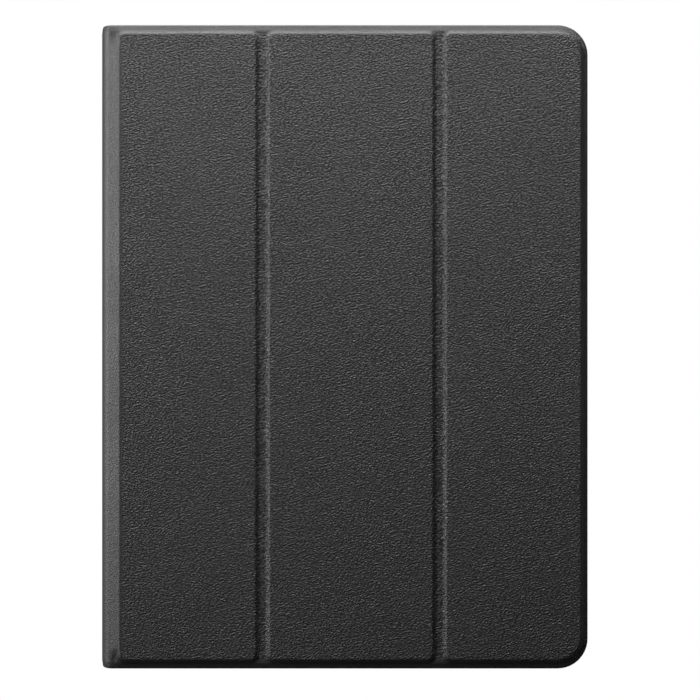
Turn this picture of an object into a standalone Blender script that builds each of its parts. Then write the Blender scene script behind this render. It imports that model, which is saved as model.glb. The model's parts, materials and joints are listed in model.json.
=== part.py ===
"""Tri-fold tablet case: a soft-framed tray, a rounded spine and a cover of three stiffened panels, skinned in leather.

The closed case lies on its back. +X runs from the spine to the cover's free edge, +Y to the tablet's top edge, and
+Z up through the cover. The origin is the middle of the case's outline, on the surface that it lies on.
Lengths are in millimetres here and become metres where a mesh or an empty is made.
"""

import math

import bmesh
import bpy
from mathutils import Matrix, Vector

MM = 0.001

# The tablet that the tray holds: a 4:3 tablet of about 11 inches.
TABLET_WIDTH, TABLET_HEIGHT, TABLET_THICKNESS = 178.5, 247.6, 6.1
TABLET_CORNER = 9.3
TABLET_PLAY = 0.25
SCREEN_PLAY = 0.1

# The tray frame's section.
WALL = 2.1
LIP_REACH = 1.2
LIP_THICKNESS = 0.8
FLANGE_REACH = 2.9
FLANGE_THICKNESS = 0.65
EDGE_ROUND = 1.2
LIP_EASE, LIP_UNDER_EASE = 0.3, 0.15

# Sheet thicknesses, from the back of the case to its front.
BACK_LEATHER = 0.9
PLATE = 0.95
LINER = 0.35
LINING = 0.5
BOARD = 1.0
FOAM = 0.5
LEATHER = 0.75
BOND = 0.05
COVER_GAP = 0.3
FLOOR_PLAY = 0.15
SHEET_EASE = 0.12

# How far the back's leather stops short of the frame at its free edge and at its ends, and its lining of the frame.
BACK_INSET_SIDE, BACK_INSET_END = 0.3, 0.1
HINGE_LINING_GAP = 0.4

# The cover: how far it stands past the tray, and its corners in plan at the free edge and at the spine, where the
# corner is a quarter ellipse (reach along X, depth along Y).
OVERHANG = 0.35
SPINE_BULGE = 7.55
CORNER = 11.8
SPINE_CORNER = (4.0, 1.1)

# Each panel's raised field: its fold grooves, rim and slope. A panel ends just short of its hinge lines.
PANEL_2_WIDTH, PANEL_3_WIDTH = 69.6, 58.25
HALF_GROOVE = 3.2
RIM = 3.4
RIM_FREE_EDGE = 3.0
SPINE_RIM = 7.25
SLOPE = 1.7
FIELD_CORNER = 2.2
FOLD_GAP = 0.15
SQUARE_CORNER = 0.3
WEB_EASE, WEB_EASE_DEPTH = 0.1, 0.2
FIELD_EASE, FIELD_EASE_DEPTH = 0.4, 0.15
LINING_INSET = 0.5
BOARD_INSET, FOAM_INSET = 0.35, 0.8
HOLLOW_FLARE = 0.5

# The spine rolls over into the cover at its shoulder and into the back at its heel. Each roll is a quarter circle
# whose middle is a hinge, with the hinge line just outside the leather.
SHOULDER = 4.3
HEEL = 3.0
HINGE_PROUD = 0.1
ROLL_STEPS = 4
SPINE_BOARD = 0.8
SPINE_LINING = 0.4

# Openings in the tray.
CAMERA_WINDOW, CAMERA_CORNER = 34.0, 10.0
CAMERA_INSET = 20.3
CAMERA_RING_WALL, CAMERA_RING_EASE, CAMERA_RING_PLAY = 1.4, 0.25, 0.15
PORT = (13.0, 5.6)
SPEAKER = (26.0, 2.6)
SPEAKER_OFFSET = 36.0
MICROPHONE = (2.0, 2.0)

# The press keys, in openings through the frame with a rebate behind for the flange that keeps each key in.
KEY_GAP, KEY_FLANGE_GAP = 0.4, 0.1
KEY_FLANGE = 1.4
KEY_FLANGE_DEPTHS = (-1.65, -1.1)
KEY_REBATE_DEPTH = -0.95
KEY_PROUD = 0.25
KEY_CROWN = ((0.0, 0.3), (0.12, 0.08), (0.45, 0.0))
KEY_TALL = 3.4
POWER_KEY_LONG, VOLUME_KEY_LONG = 16.0, 14.0
POWER_KEY_X = 66.0
VOLUME_KEY_Y = (88.0, 68.0)

# Magnets and keeper strips: length along Y, width along X, and where along Y each lies.
CLOSURE_MAGNET = (20.0, 6.0)
CLOSURE_MAGNET_Y = (95.0, 40.0, -40.0, -95.0)
WAKE_MAGNET = (7.0, 7.0)
WAKE_MAGNET_Y = 8.0
KEEPER = (60.0, 8.0)
KEEPER_Y = (64.0, -64.0)
MAGNET_INSET = 6.0
POCKET_GAP = 0.3

# Facets in a quarter circle, on large pieces and on small ones, and how far a cutter runs past what it cuts.
CORNER_STEPS, SMALL_STEPS = 8, 4
PAST = 2.0

# The smallest corner radius, and the length left straight at a round end, so that no two points coincide.
LEAST_RADIUS, HAIR = 0.1, 0.01

# Heights above the resting surface.
FRAME_BOTTOM = BACK_LEATHER + BOND
PLATE_BOTTOM = FRAME_BOTTOM + FLANGE_THICKNESS + BOND
LINER_BOTTOM = PLATE_BOTTOM + PLATE + BOND
BAY_FLOOR = LINER_BOTTOM + LINER
BAY_TOP = BAY_FLOOR + TABLET_THICKNESS + SCREEN_PLAY
FRAME_TOP = BAY_TOP + LIP_THICKNESS
PORT_HEIGHT = BAY_FLOOR + TABLET_THICKNESS / 2
LINING_BOTTOM = FRAME_TOP + COVER_GAP
BOARD_BOTTOM = LINING_BOTTOM + LINING + BOND
FOAM_BOTTOM = BOARD_BOTTOM + BOARD + BOND
FIELD_UNDERSIDE = FOAM_BOTTOM + FOAM + BOND
FIELD_TOP = FIELD_UNDERSIDE + LEATHER
WEB_TOP = BOARD_BOTTOM + LEATHER

# Places in plan.
FRAME_WIDTH = TABLET_WIDTH + 2 * (TABLET_PLAY + WALL)
FRAME_HEIGHT = TABLET_HEIGHT + 2 * (TABLET_PLAY + WALL)
CASE_WIDTH = SPINE_BULGE + FRAME_WIDTH + OVERHANG
CASE_HEIGHT = FRAME_HEIGHT + 2 * OVERHANG
RIGHT, TOP = CASE_WIDTH / 2, CASE_HEIGHT / 2
FRAME_RIGHT = RIGHT - OVERHANG
FRAME_LEFT = FRAME_RIGHT - FRAME_WIDTH
FRAME_TOP_EDGE = FRAME_HEIGHT / 2
FRAME_MIDDLE = (FRAME_LEFT + FRAME_RIGHT) / 2
FRAME_CORNER = TABLET_CORNER + TABLET_PLAY + WALL
SHOULDER_START = -RIGHT + SHOULDER
HEEL_START = -RIGHT + HEEL
HALF_SHOULDER, HALF_HEEL = SHOULDER * math.pi / 4, HEEL * math.pi / 4
FOLD_3_X = RIGHT - PANEL_3_WIDTH
FOLD_2_X = FOLD_3_X - PANEL_2_WIDTH
CAMERA_X = FRAME_RIGHT - WALL - TABLET_PLAY - CAMERA_INSET
CAMERA_Y = FRAME_TOP_EDGE - WALL - TABLET_PLAY - CAMERA_INSET

# Hinge lines, each (x, z), along Y.
COVER_HINGE = (
    SHOULDER_START - (SHOULDER + HINGE_PROUD) * math.sqrt(0.5),
    WEB_TOP - SHOULDER + (SHOULDER + HINGE_PROUD) * math.sqrt(0.5),
)
SPINE_HINGE = (
    HEEL_START - (HEEL + HINGE_PROUD) * math.sqrt(0.5),
    HEEL - (HEEL + HINGE_PROUD) * math.sqrt(0.5),
)


def clear_scene():
    """Leaves an empty scene to model in."""
    for found in list(bpy.data.objects):
        bpy.data.objects.remove(found)


def material(name, colour, roughness, metallic=0.0):
    """A Principled surface of one colour."""
    made = bpy.data.materials.new(name)
    made.use_nodes = True
    surface = made.node_tree.nodes["Principled BSDF"]
    surface.inputs["Base Color"].default_value = (*colour, 1.0)
    surface.inputs["Roughness"].default_value = roughness
    surface.inputs["Metallic"].default_value = metallic
    return made


def hinge_line(name, line, parent=None):
    """An empty on a hinge line (x, z), for the pieces that turn about it."""
    empty = bpy.data.objects.new(name, None)
    bpy.context.scene.collection.objects.link(empty)
    empty.parent = parent
    empty["line"] = line
    offset = parent["line"] if parent else (0.0, 0.0)
    empty.location = Vector((line[0] - offset[0], 0.0, line[1] - offset[1])) * MM
    return empty


def add(name, bm, surface, parent=None, origin=(0.0, 0.0, 0.0)):
    """Makes an object from a bmesh in case millimetres. Its own origin is a point of the case or its parent's."""
    if parent:
        origin = (parent["line"][0], 0.0, parent["line"][1])
    bmesh.ops.recalc_face_normals(bm, faces=bm.faces)
    bmesh.ops.translate(bm, verts=bm.verts, vec=-Vector(origin))
    bmesh.ops.scale(bm, verts=bm.verts, vec=(MM, MM, MM))
    mesh = bpy.data.meshes.new(name)
    bm.to_mesh(mesh)
    bm.free()
    mesh.shade_smooth()
    mesh.set_sharp_from_angle(angle=math.radians(35))
    made = bpy.data.objects.new(name, mesh)
    bpy.context.scene.collection.objects.link(made)
    if surface:
        mesh.materials.append(surface)
    made.parent = parent
    if not parent:
        made.location = Vector(origin) * MM
    return made


def outline(box, radii, inset=0.0, steps=CORNER_STEPS):
    """The points of a rectangle with round corners, anticlockwise from its lower left corner.

    box is (left, right, bottom, top), and radii are those of the lower left, lower right, upper right and upper left.
    """
    left, right, bottom, top = grown(box, -inset)
    corners = ((left, bottom, 1, 1), (right, bottom, -1, 1), (right, top, -1, -1), (left, top, 1, -1))
    points = []
    for turn, ((x, y, to_x, to_y), radius) in enumerate(zip(corners, radii)):
        radius = max(radius - inset, LEAST_RADIUS)
        for step in range(steps + 1):
            angle = math.pi + (turn + step / steps) * math.pi / 2
            across = x + to_x * radius + radius * math.cos(angle)
            along = y + to_y * radius + radius * math.sin(angle)
            points.append((across, along))
    return points


def grown(box, by):
    """A box with every side moved out by the same amount."""
    return (box[0] - by, box[1] + by, box[2] - by, box[3] + by)


def centred(x, y, width, height):
    """A box round a point."""
    return (x - width / 2, x + width / 2, y - height / 2, y + height / 2)


def loops_of(bm, levels):
    """A row of vertices for each (outline, height)."""
    return [[bm.verts.new((x, y, z)) for x, y in points] for points, z in levels]


def skin_between(bm, rows, close=False):
    """Quads between each row of vertices and the next, and from the last back to the first if close is set."""
    pairs = list(zip(rows, rows[1:]))
    if close:
        pairs.append((rows[-1], rows[0]))
    for low, high in pairs:
        count = len(low)
        for k in range(count):
            bm.faces.new((low[k], low[(k + 1) % count], high[(k + 1) % count], high[k]))


def loft(levels):
    """A closed solid through outlines at heights, capped at both ends."""
    bm = bmesh.new()
    rows = loops_of(bm, levels)
    skin_between(bm, rows)
    bm.faces.new(rows[0])
    bm.faces.new(rows[-1])
    return bm


def ring(box, radii, section):
    """A closed ring that follows a rounded rectangle; section is a closed list of (inset, height)."""
    bm = bmesh.new()
    rows = loops_of(bm, [(outline(box, radii, inset), z) for inset, z in section])
    skin_between(bm, rows, close=True)
    return bm


def slab(box, radii, bottom, top, steps=CORNER_STEPS):
    """A flat sheet with slightly eased edges."""
    whole, eased = outline(box, radii, 0.0, steps), outline(box, radii, SHEET_EASE, steps)
    ease = min(SHEET_EASE, (top - bottom) / 3)
    return loft([(eased, bottom), (whole, bottom + ease), (whole, top - ease), (eased, top)])


def roll(bm, start, radius, outer, up):
    """Rolls what lies left of start round the spine's corner. outer is the skin's height and up is 1 or -1."""
    for step in range(ROLL_STEPS):
        across = start - radius * math.pi / 4 * step / ROLL_STEPS
        parts = bm.verts[:] + bm.edges[:] + bm.faces[:]
        bmesh.ops.bisect_plane(bm, geom=parts, dist=0.0001, plane_co=(across, 0, 0), plane_no=(1, 0, 0))
    for vertex in bm.verts:
        angle = (start - vertex.co.x) / radius
        if angle > 0:
            reach = radius - up * (outer - vertex.co.z)
            vertex.co.x = start - reach * math.sin(angle)
            vertex.co.z = outer - up * (radius - reach * math.cos(angle))
    round_spine_corners(bm)
    return bm


def round_spine_corners(bm):
    """Draws the ends in along Y towards the spine, so that the case's outer corners there are round in plan."""
    reach, depth = SPINE_CORNER
    for vertex in bm.verts:
        short = min(1 - (vertex.co.x + RIGHT) / reach, 1.0)
        if short > 0:
            pull = depth * (1 - math.sqrt(1 - short**2))
            vertex.co.y *= 1 - pull / TOP


def cut(target, name, bm, parent=None):
    """Takes the shape in bm out of target."""
    cutter = add(name, bm, None, parent)
    cutter.hide_render = True
    cutter.display_type = "WIRE"
    boolean = target.modifiers.new(name, "BOOLEAN")
    boolean.operation = "DIFFERENCE"
    boolean.object = cutter


def stand_in_wall(bm, x, y, towards):
    """Turns a shape lofted along Z so that it points out through a wall at the height of the tablet's middle."""
    if towards == "up":
        turn = Matrix.Rotation(-math.pi / 2, 4, "X")
    elif towards == "down":
        turn = Matrix.Rotation(math.pi / 2, 4, "X")
    else:
        turn = Matrix(((0, 0, 1, 0), (1, 0, 0, 0), (0, 1, 0, 0), (0, 0, 0, 1)))
    bmesh.ops.transform(bm, matrix=Matrix.Translation((x, y, PORT_HEIGHT)) @ turn, verts=bm.verts)
    return bm


def slot_cutter(size, x, y, depths, towards):
    """A slot with round ends through a wall; depths are measured outwards from the wall's outer face."""
    radii = (min(size) / 2 - HAIR,) * 4
    points = outline(centred(0.0, 0.0, *size), radii, 0.0, SMALL_STEPS)
    return stand_in_wall(loft([(points, depth) for depth in depths]), x, y, towards)


def make_back(surfaces):
    """The back's leather, lining strip, stiff plate and soft liner, and the ring round the camera window."""
    left = HEEL_START - HALF_HEEL + FOLD_GAP
    end, corner = FRAME_TOP_EDGE - BACK_INSET_END, FRAME_CORNER - BACK_INSET_SIDE
    skin_box = (left, FRAME_RIGHT - BACK_INSET_SIDE, -end, end)
    skin_radii = (SQUARE_CORNER, corner, corner, SQUARE_CORNER)
    skin = roll(slab(skin_box, skin_radii, 0.0, BACK_LEATHER), HEEL_START, HEEL, 0.0, -1)
    leather = add("back_leather", skin, surfaces["leather"])
    strip_box = (left, FRAME_LEFT - HINGE_LINING_GAP, -TOP + LINING_INSET, TOP - LINING_INSET)
    strip = slab(strip_box, (SQUARE_CORNER,) * 4, FRAME_BOTTOM, FRAME_BOTTOM + SPINE_LINING, SMALL_STEPS)
    add("back_hinge_lining", roll(strip, HEEL_START, HEEL, 0.0, -1), surfaces["microfibre"])

    floor_box = grown((FRAME_LEFT, FRAME_RIGHT, -FRAME_TOP_EDGE, FRAME_TOP_EDGE), -WALL - FLOOR_PLAY)
    floor_radii = (TABLET_CORNER + TABLET_PLAY - FLOOR_PLAY,) * 4
    plate = add("back_plate", slab(floor_box, floor_radii, PLATE_BOTTOM, PLATE_BOTTOM + PLATE), surfaces["plate"])
    liner = add("tray_liner", slab(floor_box, floor_radii, LINER_BOTTOM, BAY_FLOOR), surfaces["microfibre"])

    window = centred(CAMERA_X, CAMERA_Y, CAMERA_WINDOW, CAMERA_WINDOW)
    window_radii = (CAMERA_CORNER,) * 4
    for sheet in (leather, plate, liner):
        points = outline(window, window_radii)
        cut(sheet, sheet.name + "_window", loft([(points, -PAST), (points, BAY_FLOOR + PAST)]))
    low, high, ease = BOND, BAY_FLOOR - BOND, CAMERA_RING_EASE
    near, far = CAMERA_RING_PLAY, CAMERA_RING_PLAY + CAMERA_RING_WALL
    section = [(near, low + ease), (near, high - ease), (near + ease, high), (far - ease, high)]
    section += [(far, high - ease), (far, low + 2 * ease), (far - 2 * ease, low), (near + ease, low)]
    add("camera_ring", ring(window, window_radii, section), surfaces["frame"])


def frame_section():
    """The tray frame's section as (inset from the outer face, height): flange, wall and lip."""
    lip, flange = WALL + LIP_REACH, WALL + FLANGE_REACH
    bottom, top, arc = FRAME_BOTTOM, FRAME_TOP, EDGE_ROUND
    eased = arc * (1 - math.cos(math.pi / 4))
    section = [(arc, bottom), (eased, bottom + eased), (0.0, bottom + arc)]
    section += [(0.0, top - arc), (eased, top - eased), (arc, top), (lip - LIP_EASE, top), (lip, top - LIP_EASE)]
    section += [(lip, BAY_TOP + LIP_UNDER_EASE), (lip - LIP_UNDER_EASE, BAY_TOP), (WALL, BAY_TOP)]
    section += [(WALL, bottom + FLANGE_THICKNESS), (flange, bottom + FLANGE_THICKNESS), (flange, bottom)]
    return section


def key_places():
    """Each key's name, length, place on the frame's outer face and the way that it faces."""
    keys = [("power_key", POWER_KEY_LONG, FRAME_MIDDLE + POWER_KEY_X, FRAME_TOP_EDGE, "up")]
    for name, y in zip(("volume_up_key", "volume_down_key"), VOLUME_KEY_Y):
        keys.append((name, VOLUME_KEY_LONG, FRAME_RIGHT, y, "right"))
    return keys


def make_frame(surfaces):
    """The tray's soft frame, with its openings for plug, speakers, microphone and keys."""
    box = (FRAME_LEFT, FRAME_RIGHT, -FRAME_TOP_EDGE, FRAME_TOP_EDGE)
    frame = add("tray_frame", ring(box, (FRAME_CORNER,) * 4, frame_section()), surfaces["frame"])
    through = (-WALL - PAST, PAST)
    holes = [("port_cut", PORT, FRAME_MIDDLE, "down"), ("microphone_cut", MICROPHONE, FRAME_MIDDLE, "up")]
    for side, sign in (("left", -1), ("right", 1)):
        for edge in ("up", "down"):
            holes.append((f"speaker_{side}_{edge}_cut", SPEAKER, FRAME_MIDDLE + sign * SPEAKER_OFFSET, edge))
    for name, size, x, edge in holes:
        y = FRAME_TOP_EDGE if edge == "up" else -FRAME_TOP_EDGE
        cut(frame, name, slot_cutter(size, x, y, through, edge))
    for name, long, x, y, towards in key_places():
        opening = (long + 2 * KEY_GAP, KEY_TALL + 2 * KEY_GAP)
        rebate = (opening[0] + 2 * KEY_FLANGE, opening[1] + 2 * KEY_FLANGE)
        cut(frame, name + "_opening", slot_cutter(opening, x, y, through, towards))
        cut(frame, name + "_rebate", slot_cutter(rebate, x, y, (-WALL - PAST, KEY_REBATE_DEPTH), towards))


def make_keys(surfaces):
    """The three press keys: a crowned head that stands proud of the frame, and a flange that keeps it in."""
    for name, long, x, y, towards in key_places():
        head = centred(0.0, 0.0, long, KEY_TALL)
        flange = grown(head, KEY_FLANGE - KEY_FLANGE_GAP)
        head_radii = (KEY_TALL / 2 - HAIR,) * 4
        flange_radii = (head_radii[0] + KEY_FLANGE - KEY_FLANGE_GAP,) * 4
        wide = outline(flange, flange_radii, 0.0, SMALL_STEPS)
        levels = [(wide, KEY_FLANGE_DEPTHS[0]), (wide, KEY_FLANGE_DEPTHS[1])]
        levels.append((outline(head, head_radii, 0.0, SMALL_STEPS), KEY_FLANGE_DEPTHS[1]))
        for inset, below in KEY_CROWN:
            levels.append((outline(head, head_radii, inset, SMALL_STEPS), KEY_PROUD - below))
        add(name, stand_in_wall(loft(levels), x, y, towards), surfaces["key"], origin=(x, y, PORT_HEIGHT))


def spine_row(depth):
    """Points (x, z) down the spine from the cover's hinge to the back's, at a depth below its outer face."""
    points = []
    rolls = (
        (SHOULDER_START, WEB_TOP - SHOULDER, SHOULDER, 3 * math.pi / 4 + FOLD_GAP / SHOULDER, math.pi),
        (HEEL_START, HEEL, HEEL, math.pi, 5 * math.pi / 4 - FOLD_GAP / HEEL),
    )
    for x, z, radius, first, last in rolls:
        for step in range(ROLL_STEPS + 1):
            angle = first + (last - first) * step / ROLL_STEPS
            points.append((x + (radius - depth) * math.cos(angle), z + (radius - depth) * math.sin(angle)))
    return points


def strip_along_y(outside, inside, half_length):
    """A closed solid between two rows of points (x, z), from -half_length to half_length."""
    bm = bmesh.new()
    ends = (-half_length, half_length)
    outer = [[bm.verts.new((x, y, z)) for x, z in outside] for y in ends]
    inner = [[bm.verts.new((x, y, z)) for x, z in inside] for y in ends]
    for first, second in ((outer[0], outer[1]), (inner[0], inner[1]), (outer[0], inner[0]), (outer[1], inner[1])):
        for k in range(len(outside) - 1):
            bm.faces.new((first[k], first[k + 1], second[k + 1], second[k]))
    for k in (0, -1):
        bm.faces.new((outer[0][k], outer[1][k], inner[1][k], inner[0][k]))
    round_spine_corners(bm)
    return bm


def make_spine(surfaces, axis):
    """The spine's leather, stiffening strip and lining."""
    leather = strip_along_y(spine_row(0.0), spine_row(LEATHER), TOP)
    add("spine_leather", leather, surfaces["leather"], axis)
    near = LEATHER + BOND
    far = near + SPINE_BOARD
    low, high = HEEL + BOND, WEB_TOP - SHOULDER - BOND
    outside, inside = ([(-RIGHT + depth, high), (-RIGHT + depth, low)] for depth in (near, far))
    add("spine_board", strip_along_y(outside, inside, TOP - RIM), surfaces["board"], axis)
    lining = strip_along_y(spine_row(far + BOND), spine_row(far + BOND + SPINE_LINING), TOP - LINING_INSET)
    add("spine_lining", lining, surfaces["microfibre"], axis)


def panel_shapes():
    """Each panel's outer box and raised field, with the radii of their corners. The first is laid out flat."""
    plain, soft = (SQUARE_CORNER,) * 4, (FIELD_CORNER,) * 4
    free = (SQUARE_CORNER, CORNER, CORNER, SQUARE_CORNER)
    free_field = (FIELD_CORNER, CORNER - RIM_FREE_EDGE, CORNER - RIM_FREE_EDGE, FIELD_CORNER)
    boxes = (
        (SHOULDER_START - HALF_SHOULDER + FOLD_GAP, FOLD_2_X - FOLD_GAP),
        (FOLD_2_X + FOLD_GAP, FOLD_3_X - FOLD_GAP),
        (FOLD_3_X + FOLD_GAP, RIGHT),
    )
    fields = (
        (-RIGHT + SPINE_RIM, FOLD_2_X - HALF_GROOVE),
        (FOLD_2_X + HALF_GROOVE, FOLD_3_X - HALF_GROOVE),
        (FOLD_3_X + HALF_GROOVE, RIGHT - RIM_FREE_EDGE),
    )
    corners = ((plain, soft), (plain, soft), (free, free_field))
    shapes = []
    for (left, right), (field_left, field_right), (radii, field_radii) in zip(boxes, fields, corners):
        field = (field_left, field_right, -TOP + RIM, TOP - RIM)
        shapes.append(((left, right, -TOP, TOP), radii, field, field_radii))
    return shapes


def panel_leather(box, radii, field, field_radii):
    """The leather over one panel: a raised field inside a thin bonded rim, hollow below for the foam and board."""
    levels = [
        (outline(field, field_radii, HOLLOW_FLARE), FIELD_UNDERSIDE),
        (outline(field, field_radii, -HOLLOW_FLARE), BOARD_BOTTOM),
        (outline(box, radii), BOARD_BOTTOM),
        (outline(box, radii), WEB_TOP - WEB_EASE_DEPTH),
        (outline(box, radii, WEB_EASE), WEB_TOP),
        (outline(field, field_radii, -SLOPE), WEB_TOP),
        (outline(field, field_radii), FIELD_TOP - FIELD_EASE_DEPTH),
        (outline(field, field_radii, FIELD_EASE), FIELD_TOP),
    ]
    return loft(levels)


def make_panel(number, shape, surfaces, axis):
    """One panel's leather, lining, foam and board. Returns the board, which may get pockets."""
    box, radii, field, field_radii = shape
    name = f"panel_{number}"
    free_inset = LINING_INSET if number == 3 else 0.0
    lining_box = (box[0], box[1] - free_inset, box[2] + LINING_INSET, box[3] - LINING_INSET)
    leather, lining = panel_leather(*shape), slab(lining_box, radii, LINING_BOTTOM, LINING_BOTTOM + LINING)
    if number == 1:
        roll(leather, SHOULDER_START, SHOULDER, WEB_TOP, 1)
        roll(lining, SHOULDER_START, SHOULDER, WEB_TOP, 1)
    add(name + "_leather", leather, surfaces["leather"], axis)
    add(name + "_lining", lining, surfaces["microfibre"], axis)
    foam = slab(grown(field, -FOAM_INSET), field_radii, FOAM_BOTTOM, FOAM_BOTTOM + FOAM)
    add(name + "_foam", foam, surfaces["foam"], axis)
    board = slab(grown(field, -BOARD_INSET), field_radii, BOARD_BOTTOM, BOARD_BOTTOM + BOARD)
    return add(name + "_board", board, surfaces["board"], axis)


def insert(board, name, x, y, size, surface, axis):
    """A flat metal insert in a pocket of a panel's board."""
    seat = centred(x, y, size[1], size[0])
    radii = (min(size) / 4,) * 4
    pocket = outline(grown(seat, POCKET_GAP), radii, 0.0, SMALL_STEPS)
    cut(board, name + "_pocket", loft([(pocket, BOARD_BOTTOM - PAST), (pocket, FOAM_BOTTOM + PAST)]), axis)
    add(name, slab(seat, radii, BOARD_BOTTOM, BOARD_BOTTOM + BOARD, SMALL_STEPS), surface, axis)


def make_cover(surfaces, axes):
    """The three panels, the keeper strips beside the spine and the magnets along the free edge."""
    shapes = panel_shapes()
    boards = [make_panel(n + 1, shape, surfaces, axes[n]) for n, shape in enumerate(shapes)]
    keeper_x = shapes[0][2][0] + MAGNET_INSET
    for end, y in zip(("top", "bottom"), KEEPER_Y):
        insert(boards[0], f"keeper_strip_{end}", keeper_x, y, KEEPER, surfaces["steel"], axes[0])
    magnet_x = shapes[2][2][1] - MAGNET_INSET
    for number, y in enumerate(CLOSURE_MAGNET_Y):
        insert(boards[2], f"closure_magnet_{number + 1}", magnet_x, y, CLOSURE_MAGNET, surfaces["magnet"], axes[2])
    insert(boards[2], "wake_magnet", magnet_x, WAKE_MAGNET_Y, WAKE_MAGNET, surfaces["magnet"], axes[2])


def main():
    clear_scene()
    surfaces = {
        "leather": material("black_leather", (0.035, 0.035, 0.036), 0.55),
        "microfibre": material("grey_microfibre", (0.085, 0.085, 0.09), 0.95),
        "frame": material("black_soft_frame", (0.02, 0.02, 0.021), 0.5),
        "plate": material("black_plate", (0.03, 0.03, 0.032), 0.4),
        "key": material("black_key", (0.025, 0.025, 0.026), 0.4),
        "board": material("grey_board", (0.32, 0.31, 0.29), 0.8),
        "foam": material("white_foam", (0.7, 0.7, 0.68), 0.9),
        "steel": material("keeper_steel", (0.55, 0.55, 0.56), 0.35, 1.0),
        "magnet": material("nickel_magnet", (0.7, 0.7, 0.7), 0.25, 1.0),
    }
    make_back(surfaces)
    make_frame(surfaces)
    make_keys(surfaces)
    spine_axis = hinge_line("spine_hinge_line", SPINE_HINGE)
    cover_axis = hinge_line("cover_hinge_line", COVER_HINGE, spine_axis)
    fold_2_axis = hinge_line("panel_2_fold_line", (FOLD_2_X, WEB_TOP), cover_axis)
    fold_3_axis = hinge_line("panel_3_fold_line", (FOLD_3_X, WEB_TOP), fold_2_axis)
    make_spine(surfaces, spine_axis)
    make_cover(surfaces, (cover_axis, fold_2_axis, fold_3_axis))


main()
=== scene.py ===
"""The looks of the tri-fold tablet case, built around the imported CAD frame.

Leather and lining are made in flat coordinates: u runs across the unrolled sheet, v along the hinges and h up from
the leather's face. On the cover u is x. Left of the cover the sheet rolls over the shoulder, down the spine and round
the heel. Every vertex keeps its flat place in the attribute "rest", which the materials read, so the grain runs on
from piece to piece and stays put on a piece that moves. Lengths are in metres.
"""

import json
import math

import bmesh
import bpy
import numpy as np
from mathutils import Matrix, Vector


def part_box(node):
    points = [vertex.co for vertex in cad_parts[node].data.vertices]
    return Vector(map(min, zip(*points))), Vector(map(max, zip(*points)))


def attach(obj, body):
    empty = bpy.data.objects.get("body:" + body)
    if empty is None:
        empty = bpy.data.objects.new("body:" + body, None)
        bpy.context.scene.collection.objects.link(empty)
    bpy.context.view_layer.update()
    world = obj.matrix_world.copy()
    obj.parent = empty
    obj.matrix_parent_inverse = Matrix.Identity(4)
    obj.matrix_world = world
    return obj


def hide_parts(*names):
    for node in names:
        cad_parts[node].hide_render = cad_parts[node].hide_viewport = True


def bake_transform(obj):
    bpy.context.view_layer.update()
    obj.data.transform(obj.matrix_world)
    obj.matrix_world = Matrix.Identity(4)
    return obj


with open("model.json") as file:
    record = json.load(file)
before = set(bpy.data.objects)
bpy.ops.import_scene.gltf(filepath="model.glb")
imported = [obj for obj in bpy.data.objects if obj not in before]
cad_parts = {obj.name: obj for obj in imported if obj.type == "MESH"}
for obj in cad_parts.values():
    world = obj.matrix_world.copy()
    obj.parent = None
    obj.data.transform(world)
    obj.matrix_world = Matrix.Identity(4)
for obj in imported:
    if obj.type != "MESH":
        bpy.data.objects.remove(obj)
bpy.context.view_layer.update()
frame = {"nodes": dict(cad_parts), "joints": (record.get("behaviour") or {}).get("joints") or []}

MM = 0.001
JOINT = {joint["name"]: joint.get("pos_m") for joint in frame["joints"]}

# Places taken from the frame.
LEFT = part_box("spine_leather")[0].x
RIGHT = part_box("panel_3_leather")[1].x
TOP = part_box("panel_2_leather")[1].y
FIELD_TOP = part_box("panel_2_leather")[1].z
FOLDS = (JOINT["panel_2_fold"][0], JOINT["panel_3_fold"][0])
WEB_TOP = JOINT["panel_2_fold"][2]
BACK_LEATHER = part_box("back_leather")[1]
BACK_TOP = BACK_LEATHER.y
BACK_RIGHT = BACK_LEATHER.x
FRAME_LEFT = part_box("tray_frame")[0].x
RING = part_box("camera_ring")

# The cover's shape, as the CAD has it.
SHOULDER, HEEL = 4.3 * MM, 3.0 * MM
CORNER, FIELD_CORNER = 11.8 * MM, 2.2 * MM
SPINE_CORNER = (4.0 * MM, 1.1 * MM)
BACK_CORNER = 11.35 * MM
HALF_GROOVE = 2.6 * MM
OVER_BOARD = (0.75 * MM, 0.45 * MM)
RAISE = FIELD_TOP - WEB_TOP - 0.15 * MM
FLOOR = 0.3 * MM
WALL, WALL_POWER = 2.0 * MM, 2.5
FIELD_ROUND = 0.18 * MM
RAMP, RAMP_FADE = math.radians(22), 5.0 * MM
RIM_WIDTH, RIM_DROP = 2.4 * MM, 0.34 * MM
SKIN, WEB_SKIN = 0.6 * MM, 0.73 * MM
LINING_FACE, LINING_BACK = -0.79 * MM, -1.3 * MM
SPINE_LINING_FACE, SPINE_LINING_BACK = -1.66 * MM, -2.06 * MM
HEEL_LINING_FACE, HEEL_LINING_BACK = -0.95 * MM, -1.36 * MM
LINING_INSET = 0.5 * MM
BACK_SKIN = 0.89 * MM
WINDOW_PLAY, WINDOW_CORNER, LINER_CORNER, NAP_WAVE = 0.15 * MM, 10.0 * MM, 9.4 * MM, 0.02 * MM
SOFT_EDGE = {"soft_frame": 0.14 * MM, "key": 0.04 * MM}
# The depth of the leather's grain, and the share of it that is left where the leather is stretched.
GRAIN, PRESSED = 0.28 * MM, 0.25
LINING_CHANNEL = 0.3 * MM

# Where one piece of skin ends and the next begins, this far from a fold line or a field's edge.
SEAM = 5.8 * MM
BEND = 1.45 * MM

# How the sheet is divided: a plain middle and a band of closer rows along its free edges.
BAND = 8.6 * MM
PLAIN_STEP, CLOSE_STEP = 4.5 * MM, 0.26 * MM
CORNER_LINES = 5

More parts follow.
